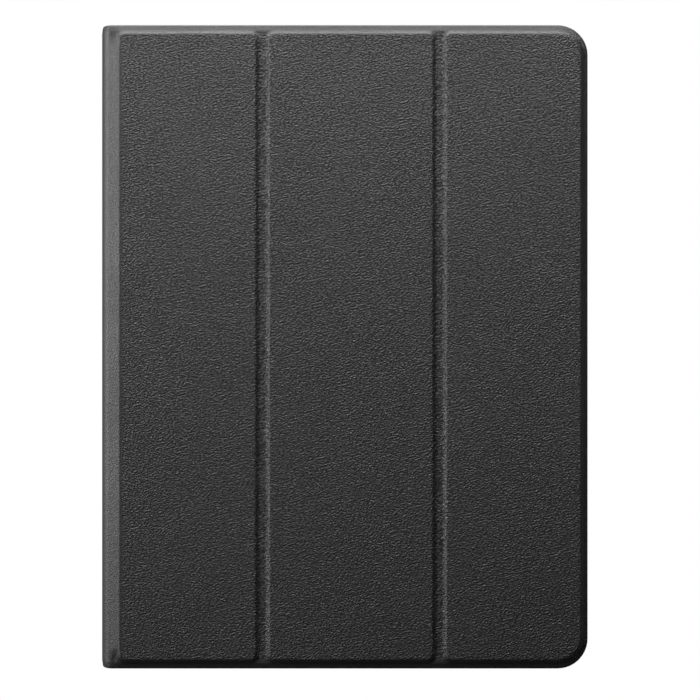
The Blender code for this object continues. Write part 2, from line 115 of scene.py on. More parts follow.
# The camera looks straight down on a view this wide at the cover's face, from a little right of and below its middle.
CAMERA_HEIGHT, VIEW_WIDTH = 2.2, 275.0 * MM
CAMERA_ASIDE = (2.1 * MM, -1.23 * MM)
# Name, place, size and power of each lamp; all point at the middle of the case.
LIGHTS = (
    ("top_low", (-0.06, 0.495, 0.044), (0.75, 0.08), 5.4),
    ("top_high", (0.0, 0.354, 0.354), (0.75, 0.08), 3.3),
    ("left_high", (-0.64, 0.12, 0.375), (0.42, 0.13), 4.9),
    ("left_low", (-0.72, 0.08, 0.085), (0.32, 0.1), 1.7),
    ("overhead", (0.0, 0.41, 1.128), (0.5, 0.5), 1.0),
)
# The light from around, from below the horizon (From Min) to above it (From Max).
SKY = (-0.35, 0.0, 0.5, 0.015)

# Lengths along the rolled part of the sheet.
SHOULDER_START, HEEL_START = LEFT + SHOULDER, LEFT + HEEL
SHOULDER_ARC, HEEL_ARC = SHOULDER * math.pi / 2, HEEL * math.pi / 2
SPINE_FLAT = WEB_TOP - SHOULDER - HEEL
SPINE_U = SHOULDER_START - SHOULDER_ARC
HEEL_U = SPINE_U - SPINE_FLAT
BACK_U = HEEL_U - HEEL_ARC
SPINE_CUTS = (HEEL_U + 0.3 * SPINE_FLAT, HEEL_U + 0.7 * SPINE_FLAT)


# ---- Shape of the sheet -------------------------------------------------------------------------------------------


def smooth(t):
    """Eases from 0 to 1."""
    t = np.clip(t, 0.0, 1.0)
    return t * t * (3 - 2 * t)


def inside(x, y, box, left_radius, right_radius):
    """How far points lie inside a rectangle with round corners. box is (left, right, bottom, top)."""
    middle = (box[0] + box[1]) / 2
    radius = np.where(x > middle, right_radius, left_radius)
    across = np.abs(x - middle) - (box[1] - box[0]) / 2 + radius
    along = np.abs(y - (box[2] + box[3]) / 2) - (box[3] - box[2]) / 2 + radius
    out = np.hypot(np.maximum(across, 0), np.maximum(along, 0)) + np.minimum(np.maximum(across, along), 0)
    return radius - out


def field_boxes():
    """The raised field over each board, as (left, right, bottom, top)."""
    across, along = OVER_BOARD
    lefts = [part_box("panel_1_board")[0].x - across] + [fold + HALF_GROOVE for fold in FOLDS]
    rights = [fold - HALF_GROOVE for fold in FOLDS] + [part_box("panel_3_board")[1].x + across]
    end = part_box("panel_1_board")[1].y + along
    return [(left, right, -end, end) for left, right in zip(lefts, rights)]


FIELDS = field_boxes()
FIELD_RADII = ((FIELD_CORNER, FIELD_CORNER), (FIELD_CORNER, FIELD_CORNER), (FIELD_CORNER, CORNER - 2.4 * MM))
COVER_BOX = (LEFT - 0.1, RIGHT, -TOP, TOP)


def field_rise(u, v):
    """0 at the groove floors and the rim, 1 on the raised fields."""
    depth = np.max([inside(u, v, box, *radii) for box, radii in zip(FIELDS, FIELD_RADII)], axis=0)
    eased = -FIELD_ROUND * np.logaddexp(0.0, -depth / FIELD_ROUND)
    return np.clip(1 + eased / WALL, 0.0, 1.0) ** WALL_POWER


def spine_ramp(u, v):
    """The straight slope from the shoulder up to panel 1's field, tangent to the shoulder's roll."""
    past = np.maximum(u - SHOULDER_START, 0)
    tilt = np.clip(RAMP - np.maximum(SHOULDER_START - u, 0) / SHOULDER, 0, RAMP)
    rise = SHOULDER * (1 / np.cos(tilt) - 1) + past * math.tan(RAMP)
    return rise * smooth((FIELDS[0][3] - np.abs(v)) / RAMP_FADE)


def unevenness(u, v):
    """The slight waviness of padded leather, about 0 on average and at most 1."""
    waves = ((0.9, 0.35, 0.2), (-0.45, 1.1, 1.7), (1.6, -0.8, 4.1), (0.3, 2.1, 2.9), (2.6, 1.3, 5.3))
    total = sum(np.sin(2 * math.pi * (a * u + b * v) / 0.07 + phase) for a, b, phase in waves)
    return total / len(waves)


def rim_dip(edge):
    """The dip towards a free edge, 0 at the rim's inner side and 1 at the edge."""
    return np.clip(1 - edge / RIM_WIDTH, 0.0, 1.0)


def rim_drop(u):
    """How far the sheet's rim dips at its free edge: less on the back than on the cover."""
    return RIM_DROP * (0.3 + 0.7 * smooth((u - BACK_U) / HEEL_ARC))


def cover_face(u, v):
    """The leather's outer face."""
    edge = inside(u, v, COVER_BOX, 0.0, CORNER)
    rise = field_rise(u, v)
    floor = FLOOR * smooth((u - SHOULDER_START) / HALF_GROOVE)
    rim = rim_drop(u) * rim_dip(edge) + floor * smooth(1 - edge / RIM_WIDTH)
    face = floor + (RAISE - floor) * rise
    ramp = np.where(u < FIELDS[0][0] + WALL, np.minimum(spine_ramp(u, v), RAISE), 0.0)
    return np.maximum(face, ramp) - rim + 0.05 * MM * rise * unevenness(u, v)


def cover_inside(u, v):
    """The leather's inner face, which rests on the foam in a field and on the lining round it."""
    return np.maximum(-WEB_SKIN, RAISE * field_rise(u, v) - SKIN)


def lining_face(u, v):
    """The side of the lining that is bonded to the leather."""
    places = (BACK_U, HEEL_U, SPINE_U, SHOULDER_START)
    heights = (HEEL_LINING_FACE, SPINE_LINING_FACE, SPINE_LINING_FACE, LINING_FACE)
    return np.interp(u, places, heights) + 0 * v


def lining_back(u, v):
    """The side of the lining that is seen when the case is open, with a shallow channel along each fold."""
    places = (BACK_U, HEEL_U, SPINE_U, SHOULDER_START)
    heights = (HEEL_LINING_BACK, SPINE_LINING_BACK, SPINE_LINING_BACK, LINING_BACK)
    channel = sum(smooth(1 - np.abs(u - fold) / HALF_GROOVE) for fold in FOLDS)
    return np.interp(u, places, heights) + LINING_CHANNEL * channel


def back_face(u, v):
    """The outer face of the back's leather."""
    edge = inside(u, v, (LEFT - 0.1, BACK_RIGHT, -BACK_TOP, BACK_TOP), 0.0, BACK_CORNER)
    return -0.3 * RIM_DROP * rim_dip(edge)


def place_flat(u, v, h):
    """Cover coordinates to space."""
    return np.stack([u, v, WEB_TOP + h], axis=-1)


def place_back(x, v, h):
    """The back's coordinates to space: its outer face looks down."""
    return np.stack([x, v, -h], axis=-1)


def place_rolled(u, v, h):
    """Flat coordinates to space, round the shoulder, down the spine and round the heel."""
    run = SHOULDER_START - u
    turn = np.clip(run, 0, SHOULDER_ARC) / SHOULDER
    heel = np.clip(run - SHOULDER_ARC - SPINE_FLAT, 0, HEEL_ARC) / HEEL
    down = np.clip(run - SHOULDER_ARC, 0, SPINE_FLAT)
    under = np.maximum(run - SHOULDER_ARC - SPINE_FLAT - HEEL_ARC, 0)
    x = SHOULDER_START + np.maximum(-run, 0) - (SHOULDER + h) * np.sin(turn)
    z = WEB_TOP - SHOULDER + (SHOULDER + h) * np.cos(turn) - down
    low = heel > 0
    x = np.where(low, HEEL_START - (HEEL + h) * np.cos(heel) + under, x)
    z = np.where(low, HEEL - (HEEL + h) * np.sin(heel), z)
    reach, depth = SPINE_CORNER
    pull = depth * (1 - np.sqrt(1 - np.clip(1 - (x - LEFT) / reach, 0, 1) ** 2))
    narrow = (TOP - BACK_TOP) * (1 - smooth((u - BACK_U) / HEEL_ARC))
    return np.stack([x, v * (1 - (pull + narrow) / TOP), z], axis=-1)


def divided(stops, steps):
    """Places from the first stop to the last, with each stretch between two stops divided evenly into its step."""
    found = [np.array([stops[0]])]
    for start, end, step in zip(stops, stops[1:], steps):
        count = max(1, round(abs(end - start) / step))
        found.append(np.linspace(start, end, count + 1)[1:])
    return np.concatenate(found)


def rim_rows(drop, low, edge_round, turn_in):
    """The free edge's section from the outer face round to the inner one, as (inset, height)."""
    rows = []
    for angle in np.radians((18, 36, 54, 72, 90)):
        rows.append((edge_round * (1 - math.sin(angle)), -drop - edge_round * (1 - math.cos(angle))))
    under = min(0.28 * MM, edge_round)
    for angle in np.radians((0, 30, 60, 90)):
        rows.append((under * (1 - math.cos(angle)), low + under * (1 - math.sin(angle))))
    rows.append((turn_in, low))
    return rows


def sheet_mesh(name, us, outer, inner, place, rim, half, corners=(None, None)):
    """A closed sheet between two faces, as a new mesh object.

    us are the columns' places, outer and inner give the faces' heights, and place turns (u, v, h) into space.
    rim(u) is a list of (inset, height) round the edges at v = -half and half. corners are the radii at the first and
    the last column: that side is then a free edge too, and with None it is cut square.
    """
    small = (corners[1] or CORNER) - BAND
    fine = small / CORNER_LINES
    straight = half - BAND - small
    vs = divided((-straight - small, -straight, straight, straight + small), (fine, PLAIN_STEP, fine))
    centres = (us[0] + BAND + small, us[-1] - BAND - small)
    if corners[1]:
        us = np.concatenate([us[us < centres[1] - fine], divided((centres[1], centres[1] + small), (fine,))])
    if corners[0]:
        us = np.concatenate([divided((centres[0] - small, centres[0]), (fine,)), us[us > centres[0] + fine]])
    u, v = np.meshgrid(us, vs, indexing="ij")
    way = np.stack([0 * u, np.sign(v)], axis=-1)
    for side, radius, centre in zip((-1, 1), corners, centres):
        if not radius:
            continue
        p = np.clip(side * (u - centre) / small, 0, 1)
        q = np.clip((np.abs(v) - straight) / small, 0, 1)
        bent = (p > 0) & (q > 0)
        u = np.where(bent, centre + side * small * p * np.sqrt(1 - q * q / 2), u)
        v = np.where(bent, np.sign(v) * (straight + small * q * np.sqrt(1 - p * p / 2)), v)
        out = np.stack([np.maximum(side * (u - centre), 0), np.maximum(np.abs(v) - straight, 0)], axis=-1)
        out /= np.maximum(np.linalg.norm(out, axis=-1, keepdims=True), 1e-12)
        beyond = (side * (u - centre) > 0)[..., None]
        way = np.where(beyond, out * np.stack([side + 0 * v, np.sign(v)], axis=-1), way)

    points, faces = [], []

    def add_points(a, b, h):
        start = sum(len(p) for p in points)
        points.append(np.stack([np.ravel(a), np.ravel(b), np.ravel(h)], axis=-1))
        return np.arange(start, start + np.size(a)).reshape(np.shape(a))

    def add_quads(first, second):
        faces.extend(np.stack([first[:-1], first[1:], second[1:], second[:-1]], axis=-1).tolist())

    top, bottom = add_points(u, v, outer(u, v)), add_points(u, v, inner(u, v))
    for grid in (top, bottom):
        for first, second in zip(grid, grid[1:]):
            add_quads(first, second)

    last, far = top.shape[0] - 1, top.shape[1] - 1
    near_row, far_row = ([(k, j) for k in range(last + 1)] for j in (0, far))
    paths = [near_row, far_row]
    if corners[1]:
        paths = [near_row + [(last, j) for j in range(1, far)] + far_row[::-1]]
    if corners[0]:
        paths[0] += [(0, j) for j in range(far - 1, 0, -1)]
    bands = []
    for path in paths:
        index = tuple(np.array(path).T)
        edge = rim(u[index])
        rows = [top[index]]
        sections = [(inset, outer) for inset in OUTER_INSETS if inset > edge[0][0]] + edge
        sections += [(inset, inner) for inset in INNER_INSETS]
        for inset, height in sections:
            a, b = u[index] + way[index][:, 0] * (BAND - inset), v[index] + way[index][:, 1] * (BAND - inset)
            rows.append(add_points(a, b, height(a, b) if callable(height) else height + 0 * a))
        rows.append(bottom[index])
        if corners[0]:
            rows = [np.append(row, row[:1]) for row in rows]
        for first, second in zip(rows, rows[1:]):
            add_quads(first, second)
        bands.append(rows)
    for side in range(2):
        if corners[side]:
            continue
        lower = [row[-side] for row in bands[0]]
        upper = [row[-1] if corners[1] else row[-side] for row in bands[-1]]
        loop = list(top[-side]) + upper[1:-1] + list(bottom[-side][::-1]) + lower[1:-1][::-1]
        faces.append([int(k) for k in loop])

    flat = np.concatenate(points)
    return mesh_object(name, place(flat[:, 0], flat[:, 1], flat[:, 2]), faces, flat)


OUTER_INSETS = divided((BAND, 4.6 * MM, 1.4 * MM, 0.6 * MM), (1.3 * MM, 0.2 * MM, 0.27 * MM))[1:]
INNER_INSETS = divided((0.55 * MM, 2.0 * MM, 4.6 * MM, BAND), (0.5 * MM, 0.4 * MM, 1.6 * MM))[:-1]


def mesh_object(name, places, faces, rest):
    """A smooth object with outward faces that keeps its flat coordinates."""
    mesh = bpy.data.meshes.new(name)
    mesh.from_pydata(places.tolist(), [], faces)
    bm = bmesh.new()
    bm.from_mesh(mesh)
    bmesh.ops.recalc_face_normals(bm, faces=bm.faces)
    bm.to_mesh(mesh)
    bm.free()
    keep_rest(mesh, rest)
    mesh.shade_smooth()
    mesh.set_sharp_from_angle(angle=math.radians(50))
    made = bpy.data.objects.new(name, mesh)
    bpy.context.scene.collection.objects.link(made)
    return made


def keep_rest(mesh, rest):
    """Writes each vertex's place in the flat sheet to the attribute that the materials read."""
    old = mesh.attributes.get("rest")
    if old:
        mesh.attributes.remove(old)
    attribute = mesh.attributes.new("rest", "FLOAT_VECTOR", "POINT")
    attribute.data.foreach_set("vector", np.asarray(rest, np.float32).ravel())


# ---- Materials ----------------------------------------------------------------------------------------------------


class Nodes:
    """A short way to write a material's nodes."""

    def __init__(self, name, **surface):
        self.material = bpy.data.materials.new(name)
        self.material.use_nodes = True
        self.tree = self.material.node_tree
        self.surface = self.tree.nodes["Principled BSDF"]
        for socket, value in surface.items():
            self.surface.inputs[socket.replace("_", " ")].default_value = value

    def add(self, kind, inputs=(), **settings):
        node = self.tree.nodes.new("ShaderNode" + kind)
        for key, value in settings.items():
            setattr(node, key, value)
        for key, value in dict(inputs).items():
            if isinstance(value, bpy.types.NodeSocket):
                self.tree.links.new(value, node.inputs[key])
            else:
                node.inputs[key].default_value = value
        return node

    def math(self, operation, a, b=0.0, c=0.0):
        return self.add("Math", {0: a, 1: b, 2: c}, operation=operation).outputs[0]

    def rest(self, size, turn=0.0):
        """The flat place, in units of the pattern's size (across, along, through), turned on the sheet."""
        place = self.add("Attribute", attribute_name="rest").outputs["Vector"]
        inputs = {"Vector": place, "Rotation": (0, 0, turn), "Scale": [MM * length for length in size]}
        return self.add("Mapping", inputs, vector_type="TEXTURE").outputs[0]

    def here(self, scale):
        """The place in space, for pieces that never bend."""
        place = self.add("TexCoord").outputs["Object"]
        return self.add("Mapping", {"Vector": place, "Scale": scale}).outputs[0]

    def noise(self, vector, detail=2.0, roughness=0.5, scale=1.0):
        inputs = {"Vector": vector, "Scale": scale, "Detail": detail, "Roughness": roughness}
        return self.add("TexNoise", inputs).outputs["Fac"]

    def ramp(self, value, low, high, to_low=0.0, to_high=1.0):
        inputs = {"Value": value, "From Min": low, "From Max": high, "To Min": to_low, "To Max": to_high}
        return self.add("MapRange", inputs, interpolation_type="SMOOTHSTEP").outputs["Result"]

    def colour(self, value, *stops):
        ramp = self.add("ValToRGB", {"Fac": value})
        ramp.color_ramp.elements[0].position, ramp.color_ramp.elements[0].color = stops[0][0], (*stops[0][1], 1)
        ramp.color_ramp.elements[1].position, ramp.color_ramp.elements[1].color = stops[1][0], (*stops[1][1], 1)
        return ramp.outputs["Color"]

    def finish(self, colour=None, roughness=None, height=None, distance=0.0, strength=1.0):
        links = self.tree.links
        if colour:
            links.new(colour, self.surface.inputs["Base Color"])
        if roughness:
            links.new(roughness, self.surface.inputs["Roughness"])
        if height:
            bump = self.add("Bump", {"Height": height, "Distance": distance, "Strength": strength})
            links.new(bump.outputs[0], self.surface.inputs["Normal"])
        return self.material


def leather():
    """Black coated leather: fine creases across the cover, pressed flat over the spine and along the turned edges."""
    n = Nodes("black_leather")
    tilt = math.radians(14)
    drift = n.noise(n.rest((5.0, 5.0, 5.0)), 1.0)
    offset = n.add("CombineXYZ", {"X": drift, "Y": drift}).outputs[0]
    moved = n.add("VectorMath", {0: n.rest((0.85, 0.6, 0.7), tilt), 1: offset}, operation="ADD").outputs[0]
    crease = n.noise(moved, 0.0)
    pebble = n.noise(n.rest((0.62, 0.5, 0.6), -tilt), 0.0)
    height = n.math("MULTIPLY_ADD", pebble, 0.5, crease)
    worn = n.noise(n.rest((35, 22, 30)), 3.0)
    # The colour is darker down in the grain's creases, which is painted shade, and it also varies in broad random
    # patches of tone.
    shade = n.math("MULTIPLY_ADD", crease, 0.5, n.math("MULTIPLY", worn, 0.5))
    colour = n.colour(shade, (0.3, (0.004, 0.004, 0.0042)), (0.7, (0.01, 0.01, 0.0102)))
    rough = n.ramp(n.math("MULTIPLY_ADD", crease, 0.6, n.math("MULTIPLY", worn, 0.4)), 0.3, 0.7, 0.56, 0.48)
    flat = n.add("SeparateXYZ", {"Vector": n.rest((1.0, 1.0, 1.0))})
    from_spine = n.ramp(flat.outputs["X"], FIELDS[0][0] / MM + 0.4, FIELDS[0][0] / MM + 2.0)
    from_edge = n.ramp(n.math("ABSOLUTE", flat.outputs["Y"]), FIELDS[0][3] / MM + 0.5, FIELDS[0][3] / MM - 1.0)
    from_side = n.ramp(flat.outputs["X"], FIELDS[2][1] / MM + 0.5, FIELDS[2][1] / MM - 1.0)
    on_field = n.math("MULTIPLY", n.math("MULTIPLY", from_spine, from_edge), from_side)
    shine = n.math("MULTIPLY_ADD", n.ramp(crease, 0.3, 0.7, -0.2, 0.2), on_field, 0.5)
    n.tree.links.new(shine, n.surface.inputs["Specular IOR Level"])
    return n.finish(colour, rough, height, GRAIN, n.math("MULTIPLY_ADD", on_field, 1 - PRESSED, PRESSED))


def microfibre():
    """Charcoal microfibre with a short, brushed nap."""
    n = Nodes("grey_microfibre", Sheen_Weight=0.15, Sheen_Roughness=0.5, Specular_IOR_Level=0.2)
    nap = n.noise(n.rest((0.2, 0.55, 0.35)), 3.0, 0.7)
    brushed = n.noise(n.rest((38, 16, 16)), 3.0, 0.55)
    speck = n.noise(n.rest((0.4, 0.4, 0.4)), 1.0)
    shade = n.math("MULTIPLY_ADD", brushed, 0.65, n.math("MULTIPLY", nap, 0.35))
    colour = n.colour(shade, (0.25, (0.036, 0.036, 0.039)), (0.75, (0.054, 0.054, 0.058)))
    rough = n.ramp(brushed, 0.3, 0.7, 0.98, 0.86)
    height = n.math("MULTIPLY_ADD", speck, 0.5, nap)
    return n.finish(colour, rough, height, 0.09 * MM)


def moulded(name, base, rough_low, rough_high, texture):
    """Moulded plastic or soft plastic with a fine spark-eroded texture and faint marks of handling."""
    n = Nodes(name, Specular_IOR_Level=0.45)
    spark = n.noise(n.here((texture,) * 3), 2.0, 0.6)
    handled = n.noise(n.here((38, 38, 90)), 4.0, 0.6)
    darker = tuple(channel * 0.72 for channel in base)
    shade = n.math("MULTIPLY_ADD", handled, 0.7, n.math("MULTIPLY", spark, 0.3))
    colour = n.colour(shade, (0.35, darker), (0.7, base))
    rough = n.ramp(handled, 0.3, 0.72, rough_high, rough_low)
    return n.finish(colour, rough, spark, 0.035 * MM)


def pressed_board():
    """Grey pressed fibre board, flecked."""
    n = Nodes("grey_board", Specular_IOR_Level=0.2)
    fleck = n.noise(n.here((900, 900, 900)), 4.0, 0.75)
    fibre = n.noise(n.here((220, 1500, 600)), 3.0, 0.6)
    shade = n.math("MULTIPLY_ADD", fleck, 0.6, n.math("MULTIPLY", fibre, 0.4))
    colour = n.colour(shade, (0.3, (0.2, 0.19, 0.17)), (0.7, (0.4, 0.39, 0.36)))
    return n.finish(colour, n.ramp(fibre, 0.3, 0.7, 0.95, 0.8), fibre, 0.06 * MM)


def foam():
    """Open-cell padding."""
    n = Nodes("white_foam", Specular_IOR_Level=0.1)
    cells = n.add("TexVoronoi", {"Vector": n.here((1400, 1400, 1400)), "Scale": 1.0}).outputs["Distance"]
    colour = n.colour(cells, (0.1, (0.72, 0.72, 0.69)), (0.7, (0.5, 0.5, 0.47)))
    return n.finish(colour, n.ramp(cells, 0.1, 0.8, 0.85, 1.0), cells, 0.1 * MM)


def metal(name, base, rough, along):
    """Rolled or plated metal with fine lines along one way."""
    n = Nodes(name, Metallic=1.0)
    lines = n.noise(n.here(along), 3.0, 0.6)
    darker = tuple(channel * 0.85 for channel in base)
    colour = n.colour(lines, (0.3, darker), (0.7, base))
    return n.finish(colour, n.ramp(lines, 0.3, 0.7, rough + 0.1, rough), lines, 0.01 * MM)


# ---- Pieces -------------------------------------------------------------------------------------------------------


def cover_rim(u):
    """The leather's turned edge: rounded above, and below it reaches the level of the lining's face."""
    low = np.interp(u, (BACK_U, HEEL_U), (-0.9 * MM, LINING_BACK))
    return rim_rows(rim_drop(u), low, 0.5 * MM, 0.44 * MM)


def back_rim(u):
    """The edge of the back's leather."""
    return rim_rows(0.3 * RIM_DROP, -BACK_SKIN, 0.36 * MM, 0.44 * MM)


def lining_rim(u):
    """The lining's cut edge."""
    ease = 0.1 * MM
    face, back = lining_face(u, 0.0), lining_back(u, 0.0)
    return [(0.04 * MM, face), (0.0, face - ease), (0.0, back + ease), (ease, back)]


def groove_lines(fold):
    """Columns over a fold, close together where its walls curve."""
    stops = (fold - SEAM, fold - 4.0 * MM, fold + 4.0 * MM, fold + SEAM)
    return divided(stops, (0.6 * MM, CLOSE_STEP, 0.6 * MM))


def plain_lines(start, end):
    """Columns over the flat of a panel."""
    return divided((start, end), (PLAIN_STEP,))


def piece(made, body, *nodes, slot, surface):
    """Finishes a piece: its material, its body and the CAD nodes that it stands for. slot is not used. body may be
    None, and the piece then stays unattached.
    """
    made.data.materials.append(surface)
    if nodes:
        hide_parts(*nodes)
    if body:
        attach(made, body)
    return made


def bend(made, first, second, start, end):
    """Bakes a piece's transform into its mesh; it is not made to turn from one body to the next, and first, second,
    start and end are not used.
    """
    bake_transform(made)


def arc_point(start, radius, middle_z, degrees):
    """A point (x, z) on a roll's outer face, at an angle from +X."""
    angle = math.radians(degrees)
    return (start + radius * math.cos(angle), middle_z + radius * math.sin(angle))


def make_layers(surfaces):
    """The leather and the lining, each cut at the same places."""
    first_seam = FIELDS[0][0] + 2.6 * MM
    stops = (SPINE_CUTS[1], SPINE_U, SHOULDER_START, first_seam - 0.8 * MM, first_seam)
    shoulder_lines = divided(stops, (0.6 * MM, 0.42 * MM, CLOSE_STEP, 0.8 * MM))
    heel_end = FRAME_LEFT - 0.4 * MM
    heel_u = BACK_U - (heel_end - HEEL_START)
    heel_lines = divided((heel_u, BACK_U, HEEL_U, SPINE_CUTS[0]), (1.0 * MM, 0.36 * MM, 0.6 * MM))
    panels = (
        ("panel_1", first_seam, FOLDS[0] - SEAM),
        ("panel_2", FOLDS[0] + SEAM, FOLDS[1] - SEAM),
    )
    bend_at = {
        "shoulder": [arc_point(SHOULDER_START, SHOULDER, WEB_TOP - SHOULDER, angle) for angle in (168, 102)],
        "heel": [arc_point(HEEL_START, HEEL, HEEL, angle) for angle in (258, 192)],
    }
    for layer, outer, inner, rim, half, slot in (
        ("leather", cover_face, cover_inside, cover_rim, TOP, "leather"),
        ("lining", lining_face, lining_back, lining_rim, TOP - LINING_INSET, "microfibre"),
    ):
        surface = surfaces[slot]
        inset = TOP - half

        def sheet(name, us, place, radius=None):
            return sheet_mesh(f"{name}_{layer}_piece", us, outer, inner, place, rim, half, (None, radius))

        for name, start, end in panels:
            made = sheet(name, plain_lines(start, end), place_flat)
            piece(made, name, f"{name}_{layer}", slot=slot, surface=surface)
        start, end = FOLDS[1] + SEAM, RIGHT - inset
        made = sheet("panel_3", plain_lines(start, end), place_flat, CORNER - inset)
        piece(made, "panel_3", f"panel_3_{layer}", slot=slot, surface=surface)
        for number, fold in enumerate(FOLDS):
            made = sheet(f"fold_{number + 1}", groove_lines(fold), place_flat)
            piece(made, None, slot=slot, surface=surface)
            bend(made, f"panel_{number + 1}", f"panel_{number + 2}", (fold - BEND, WEB_TOP), (fold + BEND, WEB_TOP))
        spine = sheet("spine", divided(SPINE_CUTS, (0.6 * MM,)), place_rolled)
        piece(spine, "spine", f"spine_{layer}", slot=slot, surface=surface)
        made = piece(sheet("shoulder", shoulder_lines, place_rolled), None, slot=slot, surface=surface)
        bend(made, "spine", "panel_1", *bend_at["shoulder"])
        made = sheet("heel", heel_lines, place_rolled)
        heel_nodes = ("back_hinge_lining",) if layer == "lining" else ()
        piece(made, None, *heel_nodes, slot=slot, surface=surface)
        bend(made, "back", "spine", *bend_at["heel"])
    return heel_end


def rounded_outline(box, radii, steps=9):
    """Points round a rectangle (left, right, bottom, top) with round corners, of one radius on each side."""
    left, right, bottom, top = box
    centres = ((right, top, 0), (left, top, 1), (left, bottom, 2), (right, bottom, 3))
    points = []
    for x, y, quarter in centres:
        radius = radii[0] if quarter in (1, 2) else radii[1]
        x += radius if quarter in (1, 2) else -radius
        y += radius if quarter in (2, 3) else -radius
        for k in range(steps):
            angle = math.pi / 2 * (quarter + k / (steps - 1))
            points.append((x + radius * math.cos(angle), y + radius * math.sin(angle)))
    return points


def stacked(name, box, radii, levels):
    """A closed solid through round-cornered rectangles, one for each (inset, z) in levels."""
    places, faces = [], []
    for inset, z in levels:
        grown = (box[0] + inset, box[1] - inset, box[2] + inset, box[3] - inset)
        places += [(x, y, z) for x, y in rounded_outline(grown, [radius - inset for radius in radii])]
    count = len(places) // len(levels)
    for level in range(len(levels) - 1):
        low, high = level * count, (level + 1) * count
        faces += [(low + k, low + (k + 1) % count, high + (k + 1) % count, high + k) for k in range(count)]
    faces += [tuple(range(count)), tuple(range(len(places) - count, len(places)))]
    return mesh_object(name, np.array(places), faces, np.array(places))


def cut_window(sheet, face, ease, past):
    """Cuts the camera's window through a sheet, with an eased edge at its seen face; past is its depth, signed."""
    way = math.copysign(1.0, past)
    half = (RING[1].x - RING[0].x) / 2 + WINDOW_PLAY
    x, y = (RING[0].x + RING[1].x) / 2, (RING[0].y + RING[1].y) / 2
    levels = [(-ease, face - way * MM), (-ease, face)]
    for angle in np.radians((22.5, 45, 67.5, 90)):
        levels.append((-ease * (1 - math.sin(angle)), face + way * ease * (1 - math.cos(angle))))
    levels.append((0.0, face + past + way * MM))
    cutter = stacked("window_cutter", (x - half, x + half, y - half, y + half), (WINDOW_CORNER, WINDOW_CORNER), levels)
    modifier = sheet.modifiers.new("window", "BOOLEAN")
    modifier.operation, modifier.solver, modifier.object = "DIFFERENCE", "EXACT", cutter
    bpy.context.view_layer.update()
    cut = bpy.data.meshes.new_from_object(sheet.evaluated_get(bpy.context.evaluated_depsgraph_get()))
    sheet.modifiers.clear()
    sheet.data = cut
    bpy.data.objects.remove(cutter)


def make_back(surfaces, start):
    """The back's leather and the liner of the tray, both with the camera's window."""
    made = sheet_mesh(
        "back_leather_piece", plain_lines(start, BACK_RIGHT), back_face, lambda u, v: -BACK_SKIN + 0 * u,
        place_back, back_rim, BACK_TOP, (None, BACK_CORNER),
    )
    cut_window(made, 0.0, 0.35 * MM, BACK_SKIN)
    rest = np.array([vertex.co for vertex in made.data.vertices], float)
    rest[:, 0] = BACK_U - (rest[:, 0] - HEEL_START)
    keep_rest(made.data, rest)
    piece(made, "back", "back_leather", slot="leather", surface=surfaces["leather"])

    low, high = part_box("tray_liner")
    top, thick = high.z, high.z - low.z
    made = sheet_mesh(
        "tray_liner_piece", plain_lines(low.x, high.x), lambda u, v: NAP_WAVE * unevenness(u, v) - NAP_WAVE,
        lambda u, v: -thick + 0 * u, lambda u, v, h: np.stack([u, v, top + h], axis=-1),
        lambda u: [(0.12 * MM, -0.02 * MM), (0.03 * MM, -0.1 * MM), (0.0, 0.02 * MM - thick), (0.05 * MM, -thick)],
        high.y, (LINER_CORNER, LINER_CORNER),
    )
    cut_window(made, top, 0.15 * MM, -thick)
    keep_rest(made.data, [vertex.co for vertex in made.data.vertices])
    piece(made, "back", "tray_liner", slot="microfibre", surface=surfaces["microfibre"])


def make_pads(surfaces):
    """The foam sheet over each board, with soft cut edges."""
    for number, radii in enumerate(FIELD_RADII, 1):
        low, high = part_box(f"panel_{number}_foam")
        thick = high.z - low.z
        levels = [(0.25 * MM, low.z), (0.06 * MM, low.z + 0.12 * thick), (0.0, low.z + 0.4 * thick)]
        levels += [(0.08 * MM, low.z + 0.7 * thick), (0.35 * MM, low.z + 0.93 * thick), (0.9 * MM, high.z)]
        made = stacked(f"panel_{number}_foam_pad", (low.x, high.x, low.y, high.y), radii, levels)
        piece(made, f"panel_{number}", f"panel_{number}_foam", slot="foam", surface=surfaces["foam"])


def softened(name, source, width):
    """A copy of a CAD node with its sharp edges eased and its curved faces shaded as one."""
    bm = bmesh.new()
    bm.from_mesh(frame["nodes"][source].data)
    bmesh.ops.remove_doubles(bm, verts=bm.verts, dist=0.001 * MM)
    bmesh.ops.dissolve_limit(bm, angle_limit=math.radians(0.5), verts=bm.verts, edges=bm.edges)
    sharp = [edge for edge in bm.edges if edge.is_manifold and edge.calc_face_angle() > math.radians(35)]
    bmesh.ops.bevel(bm, geom=sharp, offset=width, segments=2, profile=0.5, affect="EDGES", clamp_overlap=True)
    bm.verts.index_update()
    places = np.array([vertex.co for vertex in bm.verts])
    faces = [[vertex.index for vertex in face.verts] for face in bm.faces]
    bm.free()
    made = mesh_object(name, places, faces, places)
    made.modifiers.new("normals", "WEIGHTED_NORMAL").keep_sharp = True
    return made


def make_rigid(surfaces):
    """The parts in view that are moulded, with the small round edges that a mould leaves."""
    for source, body, slot in (
        ("tray_frame", "back", "soft_frame"),
        ("camera_ring", "back", "soft_frame"),
        ("power_key", "power_key", "key"),
        ("volume_up_key", "volume_up_key", "key"),
        ("volume_down_key", "volume_down_key", "key"),
    ):
        made = softened(f"{source}_piece", source, SOFT_EDGE[slot])
        piece(made, body, source, slot=slot, surface=surfaces[slot])


def dress_nodes(surfaces):
    """Gives each CAD node that stays in view its material."""
    for name, node in frame["nodes"].items():
        if node.hide_render:
            continue
        if name.endswith("_board"):
            kind = "board"
        elif name.startswith("keeper"):
            kind = "steel"
        elif "magnet" in name:
            kind = "magnet"
        else:
            kind = "plate"
        node.data.materials.clear()
        node.data.materials.append(surfaces[kind])


# ---- Stage --------------------------------------------------------------------------------------------------------


